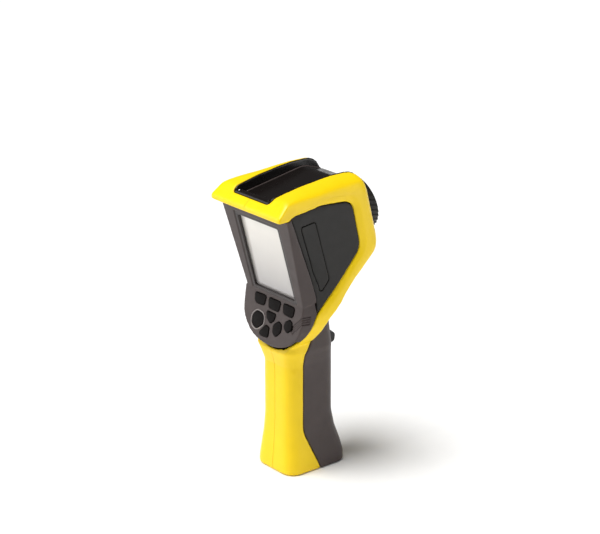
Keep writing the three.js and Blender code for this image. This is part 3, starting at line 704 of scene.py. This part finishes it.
def tube(name, path, radius, sides=10):
    """A closed round bead along a path of points in metres, thinner at its two ends."""
    vertices = []
    for i, point in enumerate(path):
        ahead = path[min(i + 1, len(path) - 1)] - path[max(i - 1, 0)]
        side = ahead.cross(Vector((0, 0, 1))).normalized()
        lift = side.cross(ahead).normalized()
        taper = BEAD_END_TAPER if i in (0, len(path) - 1) else 1.0
        for j in range(sides):
            angle = 2 * math.pi * j / sides
            vertices.append(point + (side * math.cos(angle) + lift * math.sin(angle)) * radius * taper)
    faces = strip_faces(len(path), sides)
    faces.append(tuple(range(sides))[::-1])
    faces.append(tuple((len(path) - 1) * sides + j for j in range(sides)))
    piece = mesh_object(name, vertices, faces)
    close_mesh(piece)
    return piece


def build_cover_highlight_beads():
    """Raised beads along both sides of the connector cover, shaped to catch light, and given a lighter grey
    than the cover as a painted highlight line along its edges.
    """
    for side, name in ((-1, "cover_highlight_bead_left"), (1, "cover_highlight_bead_right")):
        path = []
        for y in np.linspace(BEAD_START, BEAD_END, BEAD_STEPS):
            x = side * (BEAD_REAR_SIDE + (y - BEAD_REAR) * BEAD_SPREAD)
            path.append(Vector((x, y, lid_height(y) + BEAD_RISE)) * MM)
        bead = tube(name, path, BEAD_RADIUS * MM)
        # The lighter grey plastic on the beads is a painted highlight along the cover's edges.
        finish_piece(bead, MATERIALS["grey_plastic"], "connector_cover", "grey_plastic")


PIN_CAP_OFFSET = 22.1
PIN_CAP_HALF_LENGTH = 1.1
PIN_CAP_RADIUS = 1.85
PIN_CAP_ROWS = 9
PIN_CAP_SIDES = 20


def build_pin_caps():
    """Domed ends on the connector cover's hinge pin."""
    low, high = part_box("connector_cover_pin")
    middle = (low + high) / 2
    for side, name in ((-1, "pin_cap_left"), (1, "pin_cap_right")):
        vertices = []
        for i in range(PIN_CAP_ROWS):
            angle = math.pi * i / (PIN_CAP_ROWS - 1)
            along = side * PIN_CAP_OFFSET + PIN_CAP_HALF_LENGTH * math.cos(angle)
            reach = PIN_CAP_RADIUS * math.sin(angle) + 1e-3
            for j in range(PIN_CAP_SIDES):
                turn = 2 * math.pi * j / PIN_CAP_SIDES
                vertices.append(middle + Vector((along, reach * math.cos(turn), reach * math.sin(turn))) * MM)
        cap = mesh_object(name, vertices, strip_faces(PIN_CAP_ROWS, PIN_CAP_SIDES))
        close_mesh(cap, merge=4e-6)
        finish_piece(cap, MATERIALS["steel"], "body", "steel")


# The battery door's hinge end, in millimetres, and how much narrower its two widths are made there.
HINGE_TAB_SIDE = 13.3
DOOR_SIDE = 16.5
HINGE_TAB_END = -13.4
HINGE_TAB_WIDTH = 0.947
DOOR_CORNER_WIDTH = 0.964


def narrow_hinge_end(door):
    """Narrows the battery door at its hinge, to clear the fillets beside the shell's lugs as it opens."""
    co = positions(door)
    side = np.abs(co[:, 0])
    hinge_end = co[:, 1] < HINGE_TAB_END
    tab = hinge_end & (side > HINGE_TAB_SIDE - 0.4) & (side < HINGE_TAB_SIDE + 0.2)
    corner = hinge_end & (side > DOOR_SIDE - 0.2)
    co[tab, 0] *= HINGE_TAB_WIDTH
    co[corner, 0] *= DOOR_CORNER_WIDTH
    set_positions(door, co)


def build_grip():
    soft_copy("grip_front", "grip_cover", 0.7, 8, "grey_plastic")
    soft_copy("trigger", "trigger_blade", 0.35, 8, "black_gloss", body="trigger")
    door = copy_node("battery_door", "battery_flap")
    narrow_hinge_end(door)
    bevel(door, 0.4)
    finish_piece(door, MATERIALS["grey_plastic"], "battery_door", "grey_plastic", "battery_door")


# ---------- keys ----------

KEY_DISH = 0.35
KEY_DISH_RADIUS = 9


def build_keys():
    for node in [n for n in frame["nodes"] if n.startswith("key_")]:
        cap = soft_copy(node, node.replace("key_", "keycap_"), 0.28, 6, "key_rubber", body=node)
        low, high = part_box(node)
        centre = (low + high) / 2 / MM
        co = positions(cap)
        local = keypad_coordinates(co)
        middle = keypad_coordinates(np.array([centre]))[0]
        reach = np.linalg.norm(local[:, [0, 2]] - middle[[0, 2]], axis=1)
        dish = KEY_DISH * smoothstep(0, 1, reach / KEY_DISH_RADIUS) * (local[:, 1] < 0)
        co[:, 1] += dish * math.cos(KEYPAD_LEAN)
        co[:, 2] -= dish * math.sin(KEYPAD_LEAN)
        set_positions(cap, co)


COLLAR_STEPS = 96
COLLAR_SECTION_STEPS = 10
COLLAR_OFFSET = 1.35
COLLAR_HALF_WIDTH = 0.62
COLLAR_HALF_HEIGHT = 0.42
COLLAR_SINK = 0.05


def build_round_key_collar():
    """A raised pale collar round the round key."""
    co = positions(frame["nodes"]["key_round"])
    local = keypad_coordinates(co)
    top = local[local[:, 1] < local[:, 1].min() + 0.05][:, [0, 2]]
    top = np.unique(np.round(top, 3), axis=0)
    centre = (top.min(0) + top.max(0)) / 2
    order = np.argsort(np.arctan2(*(top - centre).T[::-1]))
    ring = top[order]
    closed = np.vstack([ring, ring[:1]])
    lengths = np.concatenate([[0], np.cumsum(np.linalg.norm(np.diff(closed, axis=0), axis=1))])
    samples = np.linspace(0, lengths[-1], COLLAR_STEPS, endpoint=False)
    path = np.stack([np.interp(samples, lengths, closed[:, k]) for k in range(2)], axis=1)
    for _ in range(3):
        path = (np.roll(path, 1, axis=0) + path * 2 + np.roll(path, -1, axis=0)) / 4
    tangent = np.roll(path, -1, axis=0) - np.roll(path, 1, axis=0)
    outward = np.stack([tangent[:, 1], -tangent[:, 0]], axis=1)
    outward /= np.linalg.norm(outward, axis=1)[:, None]
    vertices = []
    for (x, z), (out_x, out_z) in zip(path, outward):
        for j in range(COLLAR_SECTION_STEPS):
            angle = 2 * math.pi * j / COLLAR_SECTION_STEPS
            reach = COLLAR_OFFSET + COLLAR_HALF_WIDTH * math.cos(angle)
            rise = -COLLAR_SINK - COLLAR_HALF_HEIGHT * math.sin(angle)
            vertices.append(KEYPAD_MATRIX @ (Vector((x + out_x * reach, rise, z + out_z * reach)) * MM))
    faces = strip_faces(COLLAR_STEPS, COLLAR_SECTION_STEPS, closed=True)
    collar = mesh_object("round_key_collar", vertices, faces)
    shade_smooth(collar)
    finish_piece(collar, COLLAR_GREY, "body", "grey_plastic")


# ---------- lens ----------

def turned(name, profile, sides, shape=None):
    """A closed ring or disc turned about the lens axis, from a profile of (radius, distance along it)."""
    vertices = []
    for i in range(sides):
        angle = 2 * math.pi * i / sides
        for radius, along in profile:
            reach = shape(radius, along, angle) if shape else radius
            local = Vector((reach * math.cos(angle), along, reach * math.sin(angle) + LENS_DROP / MM)) * MM
            vertices.append(HEAD_MATRIX @ local)
    count = len(profile)
    faces = []
    for i in range(sides):
        for j in range(count):
            here, after = i * count, (i + 1) % sides * count
            following = (j + 1) % count
            faces.append((here + j, after + j, after + following, here + following))
    piece = mesh_object(name, vertices, faces)
    close_mesh(piece, merge=1e-6)
    return piece


RIB_COUNT = 34
RIB_HEIGHT = 0.9
RIB_SLANT = 0.62
RIB_SHARPNESS = 1.8
RIBBED_FROM_RADIUS = 27
RIBBED_FROM = 60


def ribbed(radius, along, angle):
    """Slanting ribs on the outside of the focus ring."""
    if radius < RIBBED_FROM_RADIUS:
        return radius
    wave = math.cos(RIB_COUNT * angle + (along - RIBBED_FROM) * RIB_SLANT)
    return radius - RIB_HEIGHT * (0.5 - 0.5 * max(-1, min(1, wave * RIB_SHARPNESS)))


def build_focus_ring():
    outside = [(27.5, 61.4 + 0.55 * step) for step in range(15)]
    profile = [(23.6, 60.4), (24.0, 60.2), (26.4, 60.2), (26.9, 60.5), *outside,
               (26.6, 69.5), (25.8, 70.2), (25.2, 70.5), (24.1, 70.5), (23.6, 70.1)]
    ring = turned("focus_grip", profile, 408, ribbed)
    finish_piece(ring, MATERIALS["dark_plastic"], "focus_ring", "dark_plastic", "focus_ring")


LENS_RADIUS = 17.9
LENS_EDGE = 62.0
LENS_BULGE = 3.0
LENS_STEPS = 14


def build_lens():
    front = []
    for step in range(LENS_STEPS + 1):
        angle = math.pi / 2 * step / LENS_STEPS
        front.append((LENS_RADIUS * math.cos(angle), LENS_EDGE + LENS_BULGE * math.sin(angle)))
    lens = turned("infrared_lens", [(0, 60.35), (17.6, 60.35), (LENS_RADIUS, 60.7), *front], 128)
    finish_piece(lens, MATERIALS["germanium"], "body", "germanium", "germanium_lens")


# ---------- studio ----------

FLOOR_REACH = 6
FLOOR_HEIGHT = -0.0005
SUN_STRENGTH = 3.5
SUN_ANGLE = math.radians(34)
WORLD_STRENGTH = 0.09


def area_light(name, place, size, power):
    data = bpy.data.lights.new(name, "AREA")
    data.shape = "RECTANGLE"
    data.size, data.size_y = size
    data.energy = power
    light = link(bpy.data.objects.new(name, data))
    light.location = place
    light.rotation_euler = (CAMERA_TARGET - Vector(place)).to_track_quat("-Z", "Y").to_euler()


def build_studio():
    towards = Vector((
        math.sin(CAMERA_AZIMUTH) * math.cos(CAMERA_ELEVATION),
        -math.cos(CAMERA_AZIMUTH) * math.cos(CAMERA_ELEVATION),
        math.sin(CAMERA_ELEVATION)))
    right = Vector((math.cos(CAMERA_AZIMUTH), math.sin(CAMERA_AZIMUTH), 0))
    up = Vector((0, 0, 1))
    data = bpy.data.cameras.new("camera")
    data.lens = CAMERA_LENS
    data.sensor_width = 36
    data.sensor_fit = "HORIZONTAL"
    camera = link(bpy.data.objects.new("camera", data))
    camera.location = CAMERA_TARGET + towards * CAMERA_DISTANCE
    camera.rotation_euler = (-towards).to_track_quat("-Z", "Y").to_euler()
    bpy.context.scene.camera = camera

    signs = ((-1, -1), (1, -1), (1, 1), (-1, 1))
    corners = [(x * FLOOR_REACH, y * FLOOR_REACH, FLOOR_HEIGHT) for x, y in signs]
    floor = mesh_object("floor", corners, [(0, 1, 2, 3)])
    pale = plastic("pale_floor", (0.94, 0.94, 0.94), 0.7, grain=0.02, worn=1.0, mottling=0.01)
    floor.data.materials.append(pale)

    area_light("left_softbox", CAMERA_TARGET - right * 1.5 + towards * 0.1 + up * 0.5, (1.0, 1.4), 10)
    area_light("right_softbox", CAMERA_TARGET + right * 1.4 + towards * 0.3 + up * 0.1, (0.6, 1.0), 4.5)
    sun = bpy.data.lights.new("overhead", "SUN")
    sun.energy = SUN_STRENGTH
    sun.angle = SUN_ANGLE
    overhead = link(bpy.data.objects.new("overhead", sun))
    overhead.rotation_euler = (up * 1.0 - right * 0.25 + towards * 0.15).to_track_quat("Z", "Y").to_euler()
    world = bpy.data.worlds.new("studio")
    world.use_nodes = True
    world.node_tree.nodes["Background"].inputs["Color"].default_value = (1, 1, 1, 1)
    world.node_tree.nodes["Background"].inputs["Strength"].default_value = WORLD_STRENGTH
    bpy.context.scene.world = world
    bpy.context.scene.view_settings.view_transform = "Standard"


colour_frame_nodes()
build_shell()
build_side_panels()
build_bezel()
build_well()
build_cover_highlight_beads()
build_pin_caps()
build_grip()
build_keys()
build_round_key_collar()
build_focus_ring()
build_lens()
build_studio()
